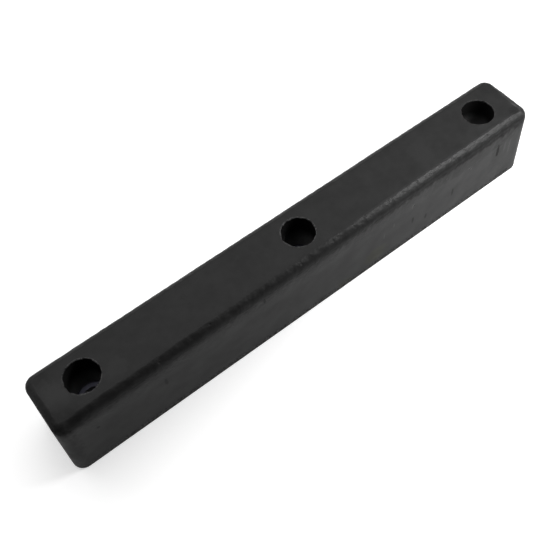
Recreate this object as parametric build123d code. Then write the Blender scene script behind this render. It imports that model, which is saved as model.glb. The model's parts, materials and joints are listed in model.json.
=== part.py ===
from build123d import *
import os

# Rubber trailer buffer: a moulded bar bolted through three stepped holes.
# It lies on its mounting face. Origin at the middle of that face, +X along the bar, +Z out of the holes.
# Millimetres and degrees.

# Rubber body
length = 450.0  # at the mounting face
width = 56.0  # at the mounting face
height = 68.0
draft = 2.0  # lean of all four sides, so that the bar leaves its mould
edge_radius = 9.0  # along the top edges and up the four corners
base_edge_radius = 0.6

# Stepped bolt holes
end_distance = 38.0  # from each end of the bar to the middle of its outer hole
bolt_hole_diameter = 15.0
well_diameter = 26.0  # takes the head of the bolt and a socket
shoulder_height = 32.0  # where the bolt head bears, above the mounting face
mouth_radius = 0.6

# Steel washers moulded into the shoulders
washer_thickness = 2.5
washer_lap = 1.0  # how far the rubber holds the washer's rim
washer_edge_break = 0.3

# Worked out
washer_diameter = well_diameter + 2 * washer_lap
hole_pitch = length / 2 - end_distance
hole_places = {"left": -hole_pitch, "middle": 0.0, "right": hole_pitch}
overrun = 1.0  # cutters run this far past the faces that they cut


def bar():
    """The solid bar with its draft and rounded edges, before any hole."""
    block = extrude(Rectangle(length, width), amount=height, taper=draft)
    mounting_edges = block.faces().sort_by(Axis.Z)[0].edges()
    block = fillet(block.edges() - mounting_edges, edge_radius)
    return fillet(block.faces().sort_by(Axis.Z)[0].edges(), base_edge_radius)


def hole_cutter():
    """The stepped hole on the Z axis: bolt hole, shoulder, well and rounded mouth."""
    bolt = bolt_hole_diameter / 2
    well = well_diameter / 2
    with BuildSketch(Plane.XZ) as half:
        with BuildLine():
            wall = Polyline(
                (0, height + overrun),
                (0, -overrun),
                (bolt, -overrun),
                (bolt, shoulder_height),
                (well, shoulder_height),
                (well, height - mouth_radius),
            )
            lip = JernArc(wall @ 1, (0, 1), mouth_radius, -90)
            Polyline(lip @ 1, (well + mouth_radius, height + overrun), (0, height + overrun))
        make_face()
    return revolve(half.sketch, Axis.Z)


def disc(diameter):
    """A disc on the Z axis where a washer lies, as thick as the washer."""
    seat = Plane.XY.offset(shoulder_height - washer_thickness)
    return extrude(seat * Circle(diameter / 2), amount=washer_thickness)


def washer():
    """One washer, its inner edge broken on the side where the bolt head bears."""
    punched = disc(washer_diameter) - disc(bolt_hole_diameter)
    bearing_face = punched.faces().sort_by(Axis.Z)[-1]
    return chamfer(bearing_face.inner_wires()[0].edges(), washer_edge_break)


def at_each_hole(shape):
    """Copies of a shape made on the Z axis, one for each hole, by the hole's name."""
    return {name: Pos(place, 0, 0) * shape for name, place in hole_places.items()}


def rubber_body():
    """The bar with its stepped holes, moulded round the washers."""
    body = bar()
    for cutter in at_each_hole(hole_cutter() + disc(washer_diameter)).values():
        body -= cutter
    return body


os.makedirs("parts", exist_ok=True)
export_step(rubber_body(), "parts/rubber_body.step")
for name, insert in at_each_hole(washer()).items():
    export_step(insert, f"parts/washer_{name}.step")
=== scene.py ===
import json
import math

import bmesh
import bpy
import numpy as np
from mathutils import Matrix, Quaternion, Vector, noise


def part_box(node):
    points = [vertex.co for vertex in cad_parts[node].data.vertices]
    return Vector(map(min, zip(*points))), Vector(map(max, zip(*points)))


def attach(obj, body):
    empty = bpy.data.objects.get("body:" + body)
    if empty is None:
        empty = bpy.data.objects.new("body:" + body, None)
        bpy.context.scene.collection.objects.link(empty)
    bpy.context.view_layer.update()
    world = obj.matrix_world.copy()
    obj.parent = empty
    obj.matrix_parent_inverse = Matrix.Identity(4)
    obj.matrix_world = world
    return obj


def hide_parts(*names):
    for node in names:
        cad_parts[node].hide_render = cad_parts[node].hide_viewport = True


# Rubber trailer buffer on a pale floor: a moulded bar with three stepped holes and their steel washers.
# Metres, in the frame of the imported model: +X along the bar, +Z out of the holes.

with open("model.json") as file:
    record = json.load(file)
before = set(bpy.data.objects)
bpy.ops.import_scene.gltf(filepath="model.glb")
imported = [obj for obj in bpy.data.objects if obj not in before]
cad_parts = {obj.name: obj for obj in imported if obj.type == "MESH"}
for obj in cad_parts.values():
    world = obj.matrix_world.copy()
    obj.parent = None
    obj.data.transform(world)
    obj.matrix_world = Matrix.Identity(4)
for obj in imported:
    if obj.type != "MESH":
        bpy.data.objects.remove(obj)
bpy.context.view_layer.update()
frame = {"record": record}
mm = 0.001

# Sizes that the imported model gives
bar_low, bar_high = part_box("rubber_body")
height = bar_high.z
washer_boxes = {name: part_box(f"washer_{name}") for name in ("left", "middle", "right")}
hole_places = {name: (low.x + high.x) / 2 for name, (low, high) in washer_boxes.items()}
washer_low, washer_high = washer_boxes["middle"]
washer_diameter = washer_high.x - washer_low.x
bolt_hole = frame["record"]["mounts"][0]["dims"]["r_mm"] * mm

# Sizes that its solids were made with
draft = math.radians(2.0)
edge_radius = 9.0 * mm
base_edge_radius = 0.6 * mm
mouth_radius = 0.6 * mm
washer_lap = 1.0 * mm
washer_edge_break = 0.3 * mm

# Worked out
well = washer_diameter / 2 - washer_lap
rounded_off = base_edge_radius * (math.tan(draft) + 1 / math.cos(draft) - 1)  # by the base edge
half_length = bar_high.x + rounded_off
half_width = bar_high.y + rounded_off
core_top = height - edge_radius

# Mesh of the rubber
cells_across = 24  # across the top, and so round a quarter of each hole
cell = 1.4 * mm  # along the flat faces
roll_cell = 0.9 * mm  # across a rolled edge
corner_cells = 10  # round an upright corner
base_edge_cells = 3
base_border_cells = 4  # on the mounting face, from its edge to the core
mouth_cells = 4
top_rings = 4  # between a hole and the edge of its patch, on the top
base_rings = 8  # and on the mounting face

# Mesh of a washer
washer_wall_cell = 0.6 * mm
washer_top_cell = 0.8 * mm
washer_base_cell = 1.5 * mm
washer_edge_cells = 3

# Every mesh
weld_distance = 0.002 * mm
crease = math.radians(35)  # sharper edges stay sharp

# Unevenness of the moulded faces: how far in and out, and (share, size) of its lumps
face_swell = 0.14 * mm
roll_swell = 0.22 * mm
top_drop = 0.5 * face_swell  # the top lies this much lower, to leave its lumps room in the box
face_lumps = ((0.6, 20 * mm), (0.4, 8 * mm))
roll_lumps = ((1.0, 4 * mm),)
side_reach = 2.2 * mm  # the sides reach this far in from the core's outline at the base
uneven_past_well = (1.5 * mm, 4 * mm)  # the unevenness sets in between these distances
uneven_above_base = (1 * mm, 6 * mm)
flat_facing = (0.9, 0.99)  # how far up a place faces, from 0 to 1, where the flat top begins
rolled_facing = (0.06, 0.3)  # and where a rolled edge does

# Wear of the top corners and of the mouths
corner_wear = 0.8 * mm
corner_reach = 11 * mm
mouth_wear = 0.15 * mm
mouth_raggedness = 0.7 * mm
mouth_lumps = ((1.0, 2.2 * mm), (0.6, 5 * mm))
lip_levels = (height - 3 * mm, height - 0.8 * mm)  # the wear sets in between them
lip_past_well = (1 * mm, 3 * mm)  # and dies out between these distances

# Kinds of surface, each with the two limits of its border. The facing of a wall is 0, that of the top is 1
side_facing = (0.02, 0.15)
flank_facing = (0.6, 0.8)
top_facing = (0.95, 0.995)
mouth_levels = (height - 1.4 * mm, height - 0.5 * mm)
hole_reach = (well + 0.2 * mm, well + 0.5 * mm)
rim_reach = (well + 0.7 * mm, well + 1.3 * mm)
upper_side_levels = (height - 26 * mm, height - 12 * mm)
left_end_places = (6 * mm - half_length, 18 * mm - half_length)
right_end_places = (half_length - 16 * mm, half_length - 6 * mm)

# Lumps of the rubber's colour and relief
cloud_size = 20 * mm
patch_size = 7 * mm
mottle_size = 3 * mm
pebble_size = 1.1 * mm
grain_size = 0.3 * mm
lump_stretch = (1, 1, 0.85)  # the larger ones are a little taller than wide

# Their depths in millimetres: everywhere, then what is added on the upper sides, on the rolls, where the
# sheen of the painted highlight is added, and at the foot
cloud_depths = (0.95,)
patch_depths = (0.025, 0.475)
mottle_depths = (0.0045, 0.144, 0.18)
pebble_depths = (0.011, 0.033, 0.088, 0.176, 0.154)
grain_depth = 0.004
calm_places = (30 * mm, 120 * mm)  # the relief grows calmer between them
calm_share = 0.4
pit_depth = 0.25
pit_reach = (1.3 * mm, 1.3 * mm, 1.1 * mm)

# Base edge: a line of painted shade along it, chips that are dull, and scuffs that are pale
chip_size, chip_limits = 1.5 * mm, (0.47, 0.58)
edge_levels = (0.8 * mm, 2 * mm)
chip_levels = (3 * mm, 8 * mm)
scuff_size, scuff_limits = 1.3 * mm, (0.56, 0.64)
scuff_levels = (2 * mm, 7 * mm)
scuff_cover = 0.7

# Rims, left end (a paler grey of painted light on its rolled edges) and single marks
rim_pebbles = (0.35, 0.6)  # the pebbles that stand out pale
clean_rim_places = (50 * mm, 150 * mm)  # the rims grow cleaner between them
clean_rim_share = 0.6
left_end_cover = 0.8
mark_cover = 0.8
mark_border = (0.45, 1.0)
fray_size = 4 * mm

# Painted shade: a dull, darker band under the front roll, with a ragged lower border
drip_size = 5 * mm
drip_reach = 9 * mm
drip_stretch = (1, 1, 0.6)
band_foot = (core_top - 3 * mm, core_top + 0.5 * mm)
band_head = (core_top + 0.8 * mm, core_top + 2.6 * mm)
band_painted_shade, band_painted_shade_right = 0.28, 0.16
band_places = (-40 * mm, 80 * mm)  # it grows duller between them

# Dust elsewhere, and the painted shade and dull chips of the foot
foot_shade_and_dust, foot_share_left = 0.6, 0.3
foot_places = (-220 * mm, -160 * mm)  # the foot's painted shade and dust grow stronger between them
smear_size, smear_limits = 9 * mm, (0.4, 0.7)
smear_dullness = 0.045

# Painted highlight, as extra sheen: the right half of the front roll, and the right end a little
highlight_facing_low, highlight_facing_high = (0.5, 0.72), (0.975, 0.998)
highlight_places = (0, 100 * mm)
highlight_over = (0, 10 * mm)  # it ends between these places along Y
highlight_right_end = 0.3


def grey(level):
    """A neutral colour."""
    return level, level, level, 1


# Colours of the rubber
fresh_dark, fresh_pale = grey(0.008), grey(0.013)
cloud_tone, patch_tone = 0.35, 0.65
tone_limits = (0.25, 0.75)
rim_grey = grey(0.055)
# Painted light on the left end's rolled edges
end_painted_light = grey(0.026)
scuff_grey = grey(0.08)
# Dark grey of dust, also used for painted shade
dust_and_shade_grey = grey(0.003)
# Hole walls: the rubber's grey at the mouth, growing paler towards the washers as painted light
wall_at_mouth, wall_painted_light = grey(0.008), grey(0.2)
wall_levels = (washer_high.z, height - 12 * mm)
earth = (0.0135, 0.0135, 0.0065, 1)

# Sheen of the rubber: refractive index and roughness
fresh_ior, fresh_roughness = 1.272, 0.39
tone_roughness, roll_roughness, left_end_roughness = 0.1, 0.05, 0.25
# Sheen of the painted highlight
highlight_ior, highlight_roughness = 1.395, 0.05
# Sheen of dust and painted shade, and of the hole walls
dust_and_shade_ior, wall_ior = 1.15, 1.05
dull_roughness = 0.85

# Zinc plating under a greasy film
film_size = 5 * mm
plating_dark, plating_pale = (0.15, 0.15, 0.195, 1), (0.35, 0.35, 0.45, 1)
grime = (0.02, 0.02, 0.022, 1)
grime_reach = 2 * mm  # how far its borders wander
clean_past_bolt = (bolt_hole + 0.4 * mm, bolt_hole + 1.6 * mm)
grimy_rim = (well - 2 * mm, well - 0.6 * mm)
grimy_rim_share = 0.85
plating_roughness, film_roughness = 0.45, 0.2
plating_relief = 0.01 * mm

# Floor: its paint, and the light that it adds to the eye and in reflections
floor_white = 0.8
shade_fill = 0.46  # beside the bar
left_fill = 0.58  # away from it on the left
right_fill = 0.25  # away from it on the right
fill_places = (-100 * mm, 250 * mm)
near_fill = 0.18  # beside the bar, in reflections
mirrored_share = 0.2  # how much of the change away from the bar reflections show
shade_middle = (0, -25 * mm, 0)
shade_half = (half_length - 20 * mm, 20 * mm, 0)
shade_width = 90 * mm
white_distance = (0.2, 0.8)  # between them it turns as white as the room
sheet_middle = (0.02, 0.085)  # a square, laid askew, that reflections show whiter
sheet_half = 0.3
sheet_fade = 60 * mm
sheet_turn = math.radians(-40.5)
floor_half = 6.0
floor_gap = 0.05 * mm  # between the floor and the bar
room_in_reflections = 0.002

# Lamps: name, place, width, depth, and brightness (at 1 the face looks as white as a white sheet)
lamps_aim = (0.1, 0, 0.03)
lamps = (
    ("overhead", (0.15, 0.35, 1.2), 2.0, 1.2, 1.75),
    ("behind", (0.1, 1.25, 0.55), 2.4, 0.7, 1.6),
    ("front_right", (0.95, -0.85, 0.55), 0.7, 0.7, 1.2),
    ("near_right", (0.29, -0.135, 0.31), 0.15, 0.15, 20.4),
)

# Camera
camera_place = Vector((-199.464, -267.48, 546.168)) * mm
camera_aim = Vector((-24.907, -1.404, 34.0)) * mm
camera_roll = math.radians(-5.062)
camera_sensor = 36  # millimetres, as is the lens
camera_lens = 51.044
camera_clip = 0.01


def between(first, last, size):
    """Evenly spaced numbers from first to last, about size apart."""
    return np.linspace(first, last, max(1, round(abs(last - first) / size)) + 1)


def shares(count):
    """The even shares of a run of count cells, without the first, which is 0."""
    return np.linspace(0, 1, count + 1)[1:]


def turned(first, last, share):
    """The direction that lies a share of the way from one unit direction to another."""
    first, last = np.broadcast_arrays(first, last)
    angle = np.arccos(np.clip((first * last).sum(-1, keepdims=True), -1, 1))
    return (np.sin((1 - share) * angle) * first + np.sin(share * angle) * last) / np.sin(angle)


def core_half(level):
    """Half the length and half the width of the core that the rolled edges roll round, at a level."""
    inset = level * math.tan(draft) + edge_radius / math.cos(draft)
    return half_length - inset, half_width - inset


patch_half = core_half(core_top)[1]  # of the square patch at each hole, on the top


def columns():
    """Where mesh lines cross the top: even cells in the square patch at each hole, and between patches."""
    end = core_half(core_top)[0]
    places = [-end]
    for middle in sorted(hole_places.values()):
        places += [middle - patch_half, middle + patch_half]
    places.append(end)
    runs = []
    for number, (first, last) in enumerate(zip(places, places[1:])):
        size = (last - first) / cells_across if number % 2 else cell
        runs.append(between(first, last, size))
    return runs


def lines_along(level):
    """The places along X of all mesh lines at a level of the core."""
    end = core_half(level)[0]
    runs = columns()
    runs[0] = np.linspace(-end, runs[0][-1], len(runs[0]))
    runs[-1] = np.linspace(runs[-1][0], end, len(runs[-1]))
    return runs


def lines_over(level):
    """The places along Y of all mesh lines at a level of the core."""
    side = core_half(level)[1]
    return np.linspace(-side, side, cells_across + 1)


def core_loop(level):
    """The core's outline at a level, with the rubber's side direction at each of its points."""
    along = np.concatenate([run[1:] if number else run for number, run in enumerate(lines_along(level))])
    over = lines_over(level)
    lean = np.array([math.cos(draft), math.sin(draft)])
    front, right = np.array([0, -lean[0], lean[1]]), np.array([lean[0], 0, lean[1]])
    back, left = front * (1, -1, 1), right * (-1, 1, 1)
    sides = (
        (along, np.full_like(along, over[0]), front, right),
        (np.full_like(over, along[-1]), over, right, back),
        (along[::-1], np.full_like(along, over[-1]), back, left),
        (np.full_like(over, along[0]), over[::-1], left, front),
    )
    points, directions = [], []
    for x, y, facing, next_facing in sides:
        run = np.stack([x, y, np.full_like(x, level)], axis=-1)
        corner = shares(corner_cells)[:-1, None]
        points += [run, np.repeat(run[-1:], len(corner), axis=0)]
        directions += [np.repeat(facing[None], len(run), axis=0), turned(facing, next_facing, corner)]
    return np.concatenate(points), np.concatenate(directions)


def outline_at(levels):
    """The core's outline where each of its points has a level of its own."""
    top = core_loop(core_top)[0]
    base = core_loop(0)[0]
    share = (core_top - levels)[:, None] / core_top
    return top + (base - top) * share


class Skin:
    """A closed surface, put together from grids of points and welded where they meet."""

    def __init__(self):
        self.points = []
        self.faces = []

    def grid(self, rows, closed=False):
        """Adds a grid of square cells. A closed one joins its last column to its first."""
        rows = np.asarray(rows, float)
        start = sum(len(part) for part in self.points)
        number = start + np.arange(rows.shape[0] * rows.shape[1]).reshape(rows.shape[:2])
        if closed:
            number = np.concatenate([number, number[:, :1]], axis=1)
        self.points.append(rows.reshape(-1, 3))
        cells = np.stack([number[:-1, :-1], number[:-1, 1:], number[1:, 1:], number[1:, :-1]], axis=-1)
        self.faces.append(cells.reshape(-1, 4))

    def mesh(self, name):
        """The welded mesh, smooth apart from its sharp edges."""
        mesh = bpy.data.meshes.new(name)
        mesh.from_pydata(np.concatenate(self.points).tolist(), [], np.concatenate(self.faces).tolist())
        work = bmesh.new()
        work.from_mesh(mesh)
        bmesh.ops.remove_doubles(work, verts=work.verts, dist=weld_distance)
        bmesh.ops.recalc_face_normals(work, faces=work.faces)
        work.to_mesh(mesh)
        work.free()
        mesh.shade_smooth()
        mesh.set_sharp_from_angle(angle=crease)
        return mesh


def arc(middle, radius, first, last, count):
    """Points of a profile (distance from the axis, height) on an arc, by its angles in degrees."""
    angles = np.radians(np.linspace(first, last, count + 1))
    return [(middle[0] + radius * math.cos(a), middle[1] + radius * math.sin(a)) for a in angles]


def wall(radius, first, last, size):
    """Points of a profile down a wall, without the first."""
    return [(radius, z) for z in between(first, last, size)[1:]]


def ledge(z, first, last, size):
    """Points of a profile across a ledge, without the first."""
    return [(radius, z) for radius in between(first, last, size)[1:]]


def hole_profile():
    """The stepped hole from its mouth down: well, shoulder, washer seat and bolt hole."""
    shoulder, seat = washer_high.z, washer_low.z
    washer_edge = washer_diameter / 2
    profile = arc((well + mouth_radius, height - mouth_radius), mouth_radius, 90, 180, mouth_cells)
    profile += wall(well, height - mouth_radius, shoulder, cell)
    profile.append((washer_edge, shoulder))
    profile += wall(washer_edge, shoulder, seat, cell)
    profile += ledge(seat, washer_edge, bolt_hole, cell)
    profile += wall(bolt_hole, seat, 0, cell)
    return profile


def washer_profile():
    """A punched washer: up its rim, over its top, down its hole past the broken edge, and back below."""
    rim, top, base = washer_diameter / 2, washer_high.z, washer_low.z
    edge = (bolt_hole + washer_edge_break, top - washer_edge_break)
    profile = [(rim, z) for z in between(base, top, washer_wall_cell)]
    profile += ledge(top, rim, edge[0], washer_top_cell)
    profile += arc(edge, washer_edge_break, 90, 180, washer_edge_cells)[1:]
    profile += wall(bolt_hole, edge[1], base, washer_wall_cell)
    profile += ledge(base, bolt_hole, rim, washer_base_cell)
    return profile


def circle(middle, radius, z):
    """One ring of a hole, its points numbered as those of square_ring are."""
    angles = np.radians(-135) + np.arange(4 * cells_across) * 2 * math.pi / (4 * cells_across)
    ring = np.stack([middle + radius * np.cos(angles), radius * np.sin(angles)], axis=-1)
    return np.concatenate([ring, np.full((len(ring), 1), z)], axis=1)


def square_ring(along, over, z):
    """The edge of a hole's patch, from its front left corner round to the right."""
    front = [(x, over[0]) for x in along[:-1]]
    right = [(along[-1], y) for y in over[:-1]]
    back = [(x, over[-1]) for x in along[:0:-1]]
    left = [(along[0], y) for y in over[:0:-1]]
    return np.array([(x, y, z) for x, y in front + right + back + left])


def patch_rings(square, ring, count):
    """Rings that change evenly from a patch's square edge into the hole's edge."""
    return [square + (ring - square) * share for share in np.linspace(0, 1, count + 1)]


def side_rows():
    """Rows of points down the outside of the bar: rolled edge, drafted side, base edge and base border."""
    top_points, directions = core_loop(core_top)
    up, down = np.array([0, 0, 1.0]), np.array([0, 0, -1.0])
    roll_steps = between(0, edge_radius * (math.pi / 2 - draft), roll_cell)
    rows = []
    for share in roll_steps / roll_steps[-1]:
        rows.append(top_points + edge_radius * turned(up, directions, share))
    lowest = base_edge_radius - (edge_radius - base_edge_radius) * directions[:, 2]
    for share in between(0, 1, cell / core_top)[1:]:
        levels = core_top + (lowest - core_top) * share
        rows.append(outline_at(levels) + edge_radius * directions)
    middles = outline_at(lowest) + (edge_radius - base_edge_radius) * directions
    for share in shares(base_edge_cells):
        rows.append(middles + base_edge_radius * turned(directions, down, share))
    edge, core = rows[-1], core_loop(0)[0]
    return rows + [edge + (core - edge) * share for share in shares(base_border_cells)]


def rubber_skin():
    """The outside of the bar, its holes and their washer seats, as one closed surface."""
    skin = Skin()
    skin.grid(side_rows(), closed=True)
    for level, z in ((core_top, height), (0, 0)):
        over = lines_over(level)
        for run in lines_along(level)[::2]:
            skin.grid([[(x, y, z) for y in over] for x in run])
    patches = zip(("left", "middle", "right"), lines_along(core_top)[1::2], lines_along(0)[1::2])
    for name, run_top, run_base in patches:
        hole = [circle(hole_places[name], radius, z) for radius, z in hole_profile()]
        top = patch_rings(square_ring(run_top, lines_over(core_top), height), hole[0], top_rings)
        base = patch_rings(square_ring(run_base, lines_over(0), 0), hole[-1], base_rings)
        skin.grid(top[:-1] + hole + base[-2::-1], closed=True)
    return skin.mesh("rubber_body_dressed")


def washer_skin(place):
    """One washer, which the rubber holds by its rim."""
    skin = Skin()
    skin.grid([circle(place, radius, z) for radius, z in washer_profile()], closed=True)
    return skin.mesh("washer")


def smooth_step(value, low, high):
    """0 below low, 1 above high, and an even rise between them."""
    share = np.clip((value - low) / (high - low), 0, 1)
    return share * share * (3 - 2 * share)


def lumps(places, kinds):
    """Cloudy noise at each place, from lumps of several kinds (share, size)."""
    return sum(
        share * np.array([noise.noise(Vector(place) / size) for place in places]) for share, size in kinds
    )


def worn(mesh):
    """The mesh with uneven faces and rolls, worn corners and ragged mouths, its heights kept inside the
    bar's box.
    """
    places = np.empty(len(mesh.vertices) * 3)
    mesh.vertices.foreach_get("co", places)
    places = places.reshape(-1, 3)
    normals = np.array([vertex.normal for vertex in mesh.vertices])
    facing = normals[:, 2]
    holes = np.array(list(hole_places.values()))
    nearest = holes[np.argmin(np.abs(places[:, :1] - holes), axis=1)]
    distance = np.hypot(places[:, 0] - nearest, places[:, 1])

    # The sides are uneven but for their foot, the top but for the mouths, and the holes not at all
    half_x, half_y = core_half(0)
    side = (np.abs(places[:, 1]) > half_y - side_reach) | (np.abs(places[:, 0]) > half_x - side_reach)
    uneven = np.where(side, 1, smooth_step(distance - well, *uneven_past_well))
    uneven *= smooth_step(places[:, 2], *uneven_above_base)
    top = smooth_step(facing, *flat_facing)
    roll = smooth_step(facing, *rolled_facing) * (1 - top)
    swell = face_swell * lumps(places, face_lumps) - top_drop * top
    out = uneven * (swell + roll_swell * roll * lumps(places, roll_lumps))

    corner = np.array([*core_half(core_top), height])
    from_corner = np.linalg.norm(np.abs(places) - corner, axis=1)
    out -= corner_wear * (1 - smooth_step(from_corner, 0, corner_reach))
    places += normals * out[:, None]

    lip = smooth_step(places[:, 2], *lip_levels) * (1 - smooth_step(distance - well, *lip_past_well))
    ragged = lumps(places * (lip > 0)[:, None], mouth_lumps)
    from_axis = np.stack([places[:, 0] - nearest, places[:, 1]], axis=-1)
    from_axis /= np.maximum(np.linalg.norm(from_axis, axis=1, keepdims=True), well / 2)
    places[:, :2] += from_axis * (lip * (mouth_wear + mouth_raggedness * ragged))[:, None]
    places[:, 2] = places[:, 2].clip(bar_low.z, bar_high.z)
    mesh.vertices.foreach_set("co", places.ravel())
    mesh.update()
    return mesh


def dressed(name, mesh, node, material):
    """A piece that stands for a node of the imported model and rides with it."""
    piece = bpy.data.objects.new(name, mesh)
    bpy.context.scene.collection.objects.link(piece)
    mesh.materials.append(material)
    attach(piece, "root")
    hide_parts(node)
    return piece


class Value:
    """A number or vector that varies over a surface. Sums on it add Math nodes to its finish."""

    def __init__(self, finish, socket):
        self.finish = finish
        self.socket = socket

    def sum(self, operation, first, second):
        """The result of one Math node."""
        return self.finish.node("ShaderNodeMath", {"operation": operation}, {0: first, 1: second})

    def __add__(self, other):
        return self.sum("ADD", self, other)

    def __radd__(self, other):
        return self.sum("ADD", other, self)

    def __sub__(self, other):
        return self.sum("SUBTRACT", self, other)

    def __rsub__(self, other):
        return self.sum("SUBTRACT", other, self)

    def __mul__(self, other):
        return self.sum("MULTIPLY", self, other)

    def __rmul__(self, other):
        return self.sum("MULTIPLY", other, self)


class Finish:
    """The nodes of one material, or of the room all round."""

    def __init__(self, owner):
        self.owner = owner
        owner.use_nodes = True
        self.tree = owner.node_tree
        self.tree.nodes.clear()

    def node(self, kind, settings=(), sockets=(), output=0):
        """Adds a node, sets it, fills its sockets with values or links, and gives one of its outputs."""
        node = self.tree.nodes.new(kind)
        for setting, value in dict(settings).items():
            setattr(node, setting, value)
        for socket, value in dict(sockets).items():
            if isinstance(value, Value):
                self.tree.links.new(value.socket, node.inputs[socket])
            else:
                node.inputs[socket].default_value = value
        return Value(self, node.outputs[output]) if len(node.outputs) else node

    def place(self):
        """Where a point lies in its piece."""
        return self.node("ShaderNodeTexCoord", output="Object")

    def noise(self, size, detail=2.0, place=None):
        """Cloudy noise from 0 to 1, its lumps about size wide."""
        inputs = {"Vector": place or self.place(), "Scale": 1 / size, "Detail": detail, "Roughness": 0.5}
        return self.node("ShaderNodeTexNoise", sockets=inputs)

    def rise(self, value, low, high):
        """0 below low, 1 above high, smooth between."""
        sockets = {"Value": value, "From Min": low, "From Max": high}
        return self.node("ShaderNodeMapRange", {"interpolation_type": "SMOOTHSTEP"}, sockets)

    def fall(self, value, low, high):
        """1 below low, 0 above high, smooth between."""
        return 1 - self.rise(value, low, high)

    def vector(self, operation, *inputs):
        """A vector worked out from others."""
        return self.node("ShaderNodeVectorMath", {"operation": operation}, dict(enumerate(inputs)))

    def length(self, vector):
        """How long a vector is."""
        return self.node("ShaderNodeVectorMath", {"operation": "LENGTH"}, {0: vector}, output="Value")

    def part(self, vector, axis):
        """One of a vector's three numbers."""
        return self.node("ShaderNodeSeparateXYZ", sockets={"Vector": vector}, output=axis)

    def one_of(self, operation, values):
        """One of several values, chosen by a Math node's operation."""
        chosen = values[0]
        for value in values[1:]:
            chosen = self.node("ShaderNodeMath", {"operation": operation}, {0: chosen, 1: value})
        return chosen

    def least(self, values):
        """The smallest of several values."""
        return self.one_of("MINIMUM", values)

    def most(self, values):
        """The largest of several values."""
        return self.one_of("MAXIMUM", values)

    def near(self, place, middle, reach, frayed):
        """1 at a middle, 0 past its reach along X, Y and Z, with a border as ragged as frayed makes it."""
        away = self.length(self.vector("DIVIDE", self.vector("SUBTRACT", place, middle), reach))
        return self.fall(away + frayed, *mark_border)

    def mix(self, share, first, last):
        """A colour that changes from first to last with the share."""
        return self.node("ShaderNodeMix", {"data_type": "RGBA"}, {0: share, 6: first, 7: last}, output=2)

    def bump(self, value, depth):
        """Relief of a depth in metres."""
        return self.node("ShaderNodeBump", sockets={"Height": value, "Distance": depth, "Strength": 1.0})

    def seen(self):
        """1 where the camera looks straight at it."""
        return self.node("ShaderNodeLightPath", output="Is Camera Ray")

    def mirrored(self):
        """1 where it is seen in a reflection or through glass."""
        glossy = self.node("ShaderNodeLightPath", output="Is Glossy Ray")
        return glossy + self.node("ShaderNodeLightPath", output="Is Transmission Ray")

    def paint(self, sockets):
        """A Principled surface."""
        return self.node("ShaderNodeBsdfPrincipled", sockets=sockets)

    def over(self, share, under, cover):
        """One surface over another, where the share is 1."""
        return self.node("ShaderNodeMixShader", sockets={0: share, 1: under, 2: cover})

    def surface(self, shader, output="ShaderNodeOutputMaterial"):
        """Ends the nodes with a shader, and gives the material or world."""
        self.node(output, sockets={"Surface": shader})
        return self.owner


def on_side(x, z):
    """A place on the front face."""
    return x, -(half_width - z * math.tan(draft)), z


def on_roll(x, angle):
    """A place on the rolled front edge, by how far it faces down from the top, in degrees."""
    turn = math.radians(angle)
    return x, -(patch_half + edge_radius * math.sin(turn)), core_top + edge_radius * math.cos(turn)


# Marks of handling, with broad patches of painted shade and streaks of painted highlight: place, and how
# far they reach along X, Y and Z
dull_marks = [  # share of the sheen lost, place, reach
    (0.55, on_side(189.5 * mm, 41.5 * mm), (2 * mm, 3 * mm, 8 * mm)),
    (0.4, on_side(-196.8 * mm, 42.8 * mm), (1.8 * mm, 3 * mm, 1.8 * mm)),
    (0.4, on_side(-52 * mm, 56.5 * mm), (1.3 * mm, 3 * mm, 4 * mm)),
    (0.3, on_side(-141 * mm, 40 * mm), (1.5 * mm, 3 * mm, 6 * mm)),
    (0.35, on_side(96 * mm, 27 * mm), (1.5 * mm, 3 * mm, 5 * mm)),
    (0.35, on_side(111 * mm, 20 * mm), (1.8 * mm, 3 * mm, 4 * mm)),
    (0.3, on_side(140 * mm, 28 * mm), (1.5 * mm, 3 * mm, 6 * mm)),
    # The broad marks from here on are painted shade, on the front roll and at both ends
    (0.2, on_side(165 * mm, 54 * mm), (70 * mm, 6 * mm, 12 * mm)),
    (0.12, on_roll(-165 * mm, 72), (75 * mm, 6 * mm, 7 * mm)),
    (0.16, on_side(208 * mm, 36 * mm), (30 * mm, 8 * mm, 45 * mm)),
    (0.12, (-214 * mm, -16 * mm, 66 * mm), (24 * mm, 16 * mm, 12 * mm)),
    (0.3, (-221 * mm, -23 * mm, 40 * mm), (13 * mm, 12 * mm, 40 * mm)),
    (0.1, (-215 * mm, -20 * mm, 63 * mm), (15 * mm, 14 * mm, 12 * mm)),
]
pale_marks = [  # grey of the mark, place, reach
    # Two upright streaks of painted highlight by the right end
    (0.03, on_side(198 * mm, 42 * mm), (1.6 * mm, 5 * mm, 9 * mm)),
    (0.03, on_side(204 * mm, 38 * mm), (1.6 * mm, 5 * mm, 11 * mm)),
    (0.045, on_side(158.8 * mm, 42.4 * mm), (1.2 * mm, 2 * mm, 1.4 * mm)),
    (0.05, on_side(130.4 * mm, 51.8 * mm), (1 * mm, 2 * mm, 1 * mm)),
    (0.03, on_side(65 * mm, 32 * mm), (1 * mm, 2 * mm, 5 * mm)),
    (0.035, on_side(94 * mm, 45.5 * mm), (1 * mm, 2 * mm, 3.5 * mm)),
    (0.035, on_side(75 * mm, 38 * mm), (1 * mm, 2 * mm, 3 * mm)),
    (0.022, (-209 * mm, -2 * mm, height), (15 * mm, 17 * mm, 4 * mm)),
    (0.015, (-165 * mm, -9 * mm, height), (12 * mm, 9 * mm, 4 * mm)),
    (0.014, (122 * mm, 0, height), (12 * mm, 16 * mm, 4 * mm)),
]
earthy_marks = [  # place, reach
    (on_side(57 * mm, 15 * mm), (15 * mm, 4 * mm, 11 * mm)),
    (on_side(24 * mm, 5 * mm), (9 * mm, 4 * mm, 7 * mm)),
]
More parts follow.
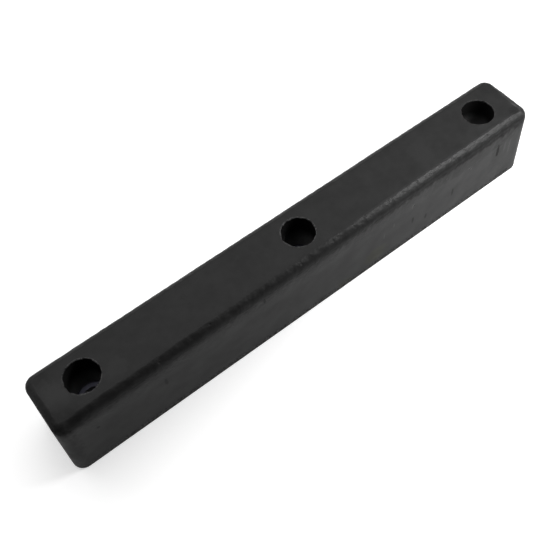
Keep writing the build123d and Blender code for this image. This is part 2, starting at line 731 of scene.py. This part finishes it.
pits = [  # place
    on_roll(71 * mm, 28), on_roll(138 * mm, 29), on_roll(125 * mm, 24), on_roll(-15 * mm, 40),
    on_roll(151 * mm, 31), on_roll(101 * mm, 25), on_roll(176 * mm, 33), on_roll(48 * mm, 22),
    on_roll(86 * mm, 31), on_roll(163 * mm, 22), on_roll(114 * mm, 33), on_roll(192 * mm, 27),
    on_roll(-96 * mm, 33), on_roll(-140 * mm, 45), on_side(157 * mm, 44 * mm), on_side(95.5 * mm, 47 * mm),
]


def from_hole(finish):
    """How far a point lies from the axis of the nearest hole."""
    offsets = [finish.vector("SUBTRACT", finish.place(), (hole, 0, 0)) for hole in hole_places.values()]
    return finish.least([finish.length(finish.vector("MULTIPLY", offset, (1, 1, 0))) for offset in offsets])


def deep(layer, depths, kinds):
    """A layer of lumps as deep as each kind of surface has them."""
    return layer * sum(depth * kind for depth, kind in zip(depths, kinds))


def black_rubber():
    """Matt black rubber as it left its mould, mottled and grained, with scuffed rims and base edges."""
    finish = Finish(bpy.data.materials.new("black_rubber"))
    place = finish.place()
    x, y, z = [finish.part(place, axis) for axis in "XYZ"]
    facing = finish.part(finish.node("ShaderNodeTexCoord", output="Normal"), "Z")
    from_axis = from_hole(finish)

    # Kinds of surface
    under_mouth = finish.fall(z, *mouth_levels)
    in_hole = under_mouth * finish.fall(from_axis, *hole_reach)
    rim = (1 - under_mouth) * finish.fall(from_axis, *rim_reach)
    beside_top = finish.fall(facing, *top_facing)
    roll = finish.rise(facing, *side_facing) * beside_top
    upper_side = finish.rise(z, *upper_side_levels) * beside_top
    flank = finish.fall(facing, *flank_facing)
    left_end = finish.fall(x, *left_end_places) * roll
    right_end = finish.rise(x, *right_end_places) * flank

    # Lumps and ragged patterns
    stretched = finish.vector("MULTIPLY", place, lump_stretch)
    clouds = finish.noise(cloud_size, detail=0.0, place=stretched)
    patches = finish.noise(patch_size, place=stretched)
    mottle = finish.noise(mottle_size, place=stretched)
    pebbles = finish.noise(pebble_size, detail=1.0)
    frayed = finish.noise(fray_size, detail=3.0) - 0.5
    chips = finish.rise(finish.noise(chip_size, detail=1.0), *chip_limits)
    chips = chips * finish.fall(z, *chip_levels)
    # The foot: a line of painted shade along the base edge, with dull chips above it
    foot = finish.most([finish.fall(z, *edge_levels), chips])
    scuffs = finish.rise(finish.noise(scuff_size, detail=1.0), *scuff_limits)
    scuffs = scuffs * finish.fall(z, *scuff_levels)

    # Colour
    tone = cloud_tone * clouds + patch_tone * patches
    colour = finish.mix(finish.rise(tone, *tone_limits), fresh_dark, fresh_pale)
    pale_rim = rim * (1 - clean_rim_share * finish.rise(x, *clean_rim_places))
    colour = finish.mix(pale_rim * finish.rise(pebbles, *rim_pebbles), colour, rim_grey)
    # Painted light: a paler grey on the left end's rolled edges
    colour = finish.mix(left_end_cover * left_end, colour, end_painted_light)
    colour = finish.mix(scuff_cover * scuffs, colour, scuff_grey)
    for level, middle, reach in pale_marks:
        mark = mark_cover * finish.near(place, middle, reach, frayed)
        colour = finish.mix(mark, colour, grey(level))
    for middle, reach in earthy_marks:
        colour = finish.mix(finish.near(place, middle, reach, frayed), colour, earth)

    # Painted highlight: sheen gained on the right of the front roll and on the right end
    highlight_sheen = finish.rise(facing, *highlight_facing_low) * finish.fall(facing, *highlight_facing_high)
    highlight_sheen = highlight_sheen * finish.rise(x, *highlight_places) * finish.fall(y, *highlight_over)
    highlight_sheen = finish.most([highlight_sheen, highlight_right_end * right_end])

    # Sheen lost, with a darker grey: to dust in the smears, chips and small marks, and as painted shade
    # along the base edge, under the front roll and in the broad marks
    drips = finish.noise(drip_size, place=finish.vector("MULTIPLY", place, drip_stretch))
    # Painted shade in a band under the front roll, stronger towards the right
    band = finish.rise(z + drip_reach * (drips - 0.5), *band_foot) * finish.fall(z, *band_head) * flank
    band = band * (band_painted_shade + band_painted_shade_right * finish.rise(x, *band_places))
    foot_share = foot_share_left + (1 - foot_share_left) * finish.rise(x, *foot_places)
    smears = finish.rise(finish.noise(smear_size, detail=3.0), *smear_limits)
    dust_and_shade = foot_shade_and_dust * foot * foot_share + smear_dullness * smears + band
    for share, middle, reach in dull_marks:
        dust_and_shade = dust_and_shade + share * finish.near(place, middle, reach, frayed)

    # Relief
    kinds = (1, upper_side, roll, highlight_sheen, foot)
    relief = deep(clouds, cloud_depths, kinds) + deep(patches, patch_depths, kinds)
    relief = relief + deep(mottle, mottle_depths, kinds) + deep(pebbles, pebble_depths, kinds)
    calm = calm_share * finish.rise(x, *calm_places) * (1 - highlight_sheen)
    relief = relief * (1 - calm) + grain_depth * finish.noise(grain_size)
    for middle in pits:
        relief = relief - pit_depth * finish.near(place, middle, pit_reach, 0.5 * frayed)

    # Surfaces
    roughness = fresh_roughness + tone_roughness * tone + roll_roughness * roll
    fresh = {
        "Base Color": colour,
        "Roughness": roughness + left_end_roughness * left_end,
        "IOR": fresh_ior,
        "Normal": finish.bump(relief, mm),
    }
    shiny = {**fresh, "Roughness": fresh["Roughness"] + highlight_roughness, "IOR": highlight_ior}
    dusty_and_shaded = {"Base Color": dust_and_shade_grey, "Roughness": dull_roughness, "IOR": dust_and_shade_ior}
    # Hole walls without sheen, painted lighter deep down
    wall_painted_grey = finish.mix(finish.rise(z, *wall_levels), wall_painted_light, wall_at_mouth)
    hole_wall = {"Base Color": wall_painted_grey, "Roughness": dull_roughness, "IOR": wall_ior}
    shader = finish.over(highlight_sheen, finish.paint(fresh), finish.paint(shiny))
    shader = finish.over(dust_and_shade, shader, finish.paint(dusty_and_shaded))
    return finish.surface(finish.over(in_hole, shader, finish.paint(hole_wall)))


def zinc():
    """Dull zinc plating, slightly blue, darkened by a greasy film and grimy at both its edges."""
    finish = Finish(bpy.data.materials.new("zinc_plated_steel"))
    film = finish.noise(film_size, detail=3.0)
    from_axis = from_hole(finish) + grime_reach * (film - 0.5)
    clean = finish.rise(from_axis, *clean_past_bolt)
    clean = clean * (1 - grimy_rim_share * finish.rise(from_axis, *grimy_rim))
    plating = finish.mix(film, plating_dark, plating_pale)
    return finish.surface(finish.paint({
        "Base Color": finish.mix(clean, grime, plating),
        "Metallic": 1.0,
        "Roughness": plating_roughness + film_roughness * film,
        "Normal": finish.bump(finish.noise(grain_size), plating_relief),
    }))


def floor_paint():
    """White floor that adds light of its own away from the bar, and so keeps the bar's shadow."""
    finish = Finish(bpy.data.materials.new("floor"))
    place = finish.node("ShaderNodeNewGeometry", output="Position")
    from_bar = finish.vector("ABSOLUTE", finish.vector("SUBTRACT", place, shade_middle))
    from_bar = finish.vector("MAXIMUM", finish.vector("SUBTRACT", from_bar, shade_half), (0, 0, 0))
    distance = finish.length(finish.vector("MULTIPLY", from_bar, (1, 1, 0)))
    away = finish.rise(distance, 0, shade_width)
    far = finish.rise(distance, *white_distance)
    sheet = finish.vector("ABSOLUTE", finish.place())
    edge = finish.most([finish.part(sheet, "X"), finish.part(sheet, "Y")])
    on_sheet = finish.fall(edge, sheet_half, sheet_half + sheet_fade)
    to_right = finish.rise(finish.part(place, "X"), *fill_places)
    open_fill = left_fill + (right_fill - left_fill) * to_right
    seen_fill = shade_fill + away * (open_fill - shade_fill) + far * (1 - open_fill)
    mirrored_fill = near_fill + away * on_sheet * mirrored_share * (open_fill - near_fill)
    return finish.surface(finish.paint({
        "Base Color": grey(floor_white),
        "Roughness": 1.0,
        "Specular IOR Level": 0.0,
        "Emission Color": finish.seen() * seen_fill + finish.mirrored() * mirrored_fill,
        "Emission Strength": 1.0,
    }))


def floor():
    """A plain floor, far wider than the view."""
    mesh = bpy.data.meshes.new("floor")
    corners = [(x * floor_half, y * floor_half, 0) for x, y in ((-1, -1), (1, -1), (1, 1), (-1, 1))]
    mesh.from_pydata(corners, [], [(0, 1, 2, 3)])
    mesh.materials.append(floor_paint())
    piece = bpy.data.objects.new("floor", mesh)
    piece.location = (*sheet_middle, bar_low.z - floor_gap)
    piece.rotation_euler.z = sheet_turn
    bpy.context.scene.collection.objects.link(piece)


def softbox(name, place, width, depth, brightness):
    """A lamp with an even face that looks at the bar."""
    lamp = bpy.data.lights.new(name, "AREA")
    lamp.shape = "RECTANGLE"
    lamp.size, lamp.size_y = width, depth
    lamp.energy = brightness * math.pi * width * depth
    piece = bpy.data.objects.new(name, lamp)
    piece.location = place
    piece.rotation_euler = (Vector(lamps_aim) - Vector(place)).to_track_quat("-Z", "Y").to_euler()
    piece.visible_camera = False
    bpy.context.scene.collection.objects.link(piece)


def room():
    """White to the eye, dim in reflections, dark as a source of light."""
    finish = Finish(bpy.data.worlds.new("room"))
    shown = finish.seen() + room_in_reflections * finish.mirrored()
    walls = finish.node("ShaderNodeBackground", sockets={"Color": shown})
    bpy.context.scene.world = finish.surface(walls, "ShaderNodeOutputWorld")


def camera():
    """Above the bar's left end, looking along it and down, a little rolled."""
    lens = bpy.data.cameras.new("camera")
    lens.sensor_width = camera_sensor
    lens.lens = camera_lens
    lens.clip_start = camera_clip
    piece = bpy.data.objects.new("camera", lens)
    piece.location = camera_place
    roll = Quaternion((0, 0, 1), camera_roll)
    piece.rotation_euler = ((camera_aim - camera_place).to_track_quat("-Z", "Y") @ roll).to_euler()
    bpy.context.scene.collection.objects.link(piece)
    bpy.context.scene.camera = piece


rubber = black_rubber()
plating = zinc()
dressed("buffer_rubber", worn(rubber_skin()), "rubber_body", rubber)
for hole, place in hole_places.items():
    dressed(f"{hole}_washer", washer_skin(place), f"washer_{hole}", plating)

floor()
room()
camera()
for lamp in lamps:
    softbox(*lamp)

bpy.context.scene.view_settings.view_transform = "Standard"
